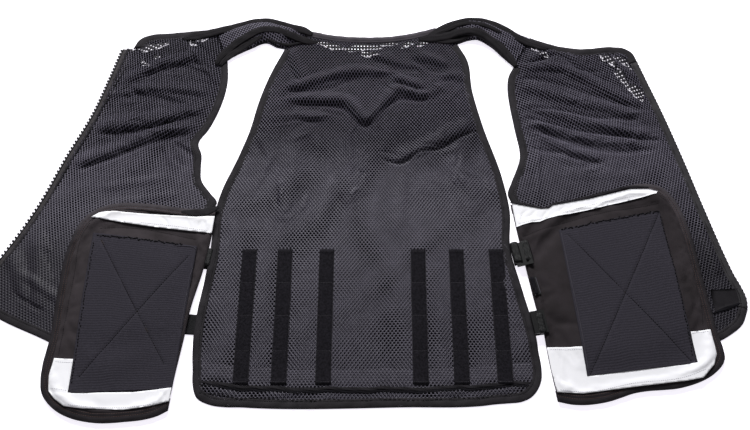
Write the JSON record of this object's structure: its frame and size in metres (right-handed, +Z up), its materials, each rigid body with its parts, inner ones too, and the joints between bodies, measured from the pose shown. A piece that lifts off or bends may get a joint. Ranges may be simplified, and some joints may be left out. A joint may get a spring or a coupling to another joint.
{
  "type": "tactical vest",
  "caption": "Net-fabric tactical vest unzipped and laid flat with its inside up: gathered shoulder straps, padded side wings with ribbed patches, webbing tapes and side buckles.",
  "frame": {"origin": "centre of the whole vest's box, on the surface it lies on", "axes": "+X from the picture's left front to its right front, +Y from the hem to the collar, +Z up from the surface"},
  "size_m": [1.133, 0.6828, 0.0158],
  "materials": {
    "net": "matte net",
    "binding": "matte twill tape",
    "webbing": "matte woven webbing",
    "cover": "matte woven cover",
    "patch": "ribbed pile",
    "plastic": "satin",
    "white": "smooth white band"
  },
  "bodies": {
    "root": {"back_panel": "net", "back_edge_binding": "binding", "back_neck_binding": "binding", "back_tape_1": "webbing", "back_tape_2": "webbing", "back_tape_3": "webbing", "back_tape_4": "webbing", "back_tape_5": "webbing", "back_tape_6": "webbing", "front_panel_left": "net", "front_panel_right": "net", "front_neck_binding_left": "binding", "front_neck_binding_right": "binding", "front_edge_binding_left": "binding", "front_edge_binding_right": "binding", "zip_tape_left": "webbing", "zip_tape_right": "webbing", "zip_chain_left": "plastic", "zip_chain_right": "plastic", "shoulder_strap_left": "net", "shoulder_strap_right": "net", "wing_left": "cover", "wing_right": "cover", "wing_binding_left": "binding", "wing_binding_right": "binding", "wing_band_top_left": "white", "wing_band_top_right": "white", "wing_band_bottom_left": "white", "wing_band_bottom_right": "white", "wing_patch_left": "patch", "wing_patch_right": "patch", "side_tab_left_upper": "webbing", "side_tab_left_lower": "webbing", "side_tab_right_upper": "webbing", "side_tab_right_lower": "webbing", "triglide_right_upper": "plastic", "buckle_right_lower": "plastic", "keeper_right": "plastic"}
  },
  "joints": []
}
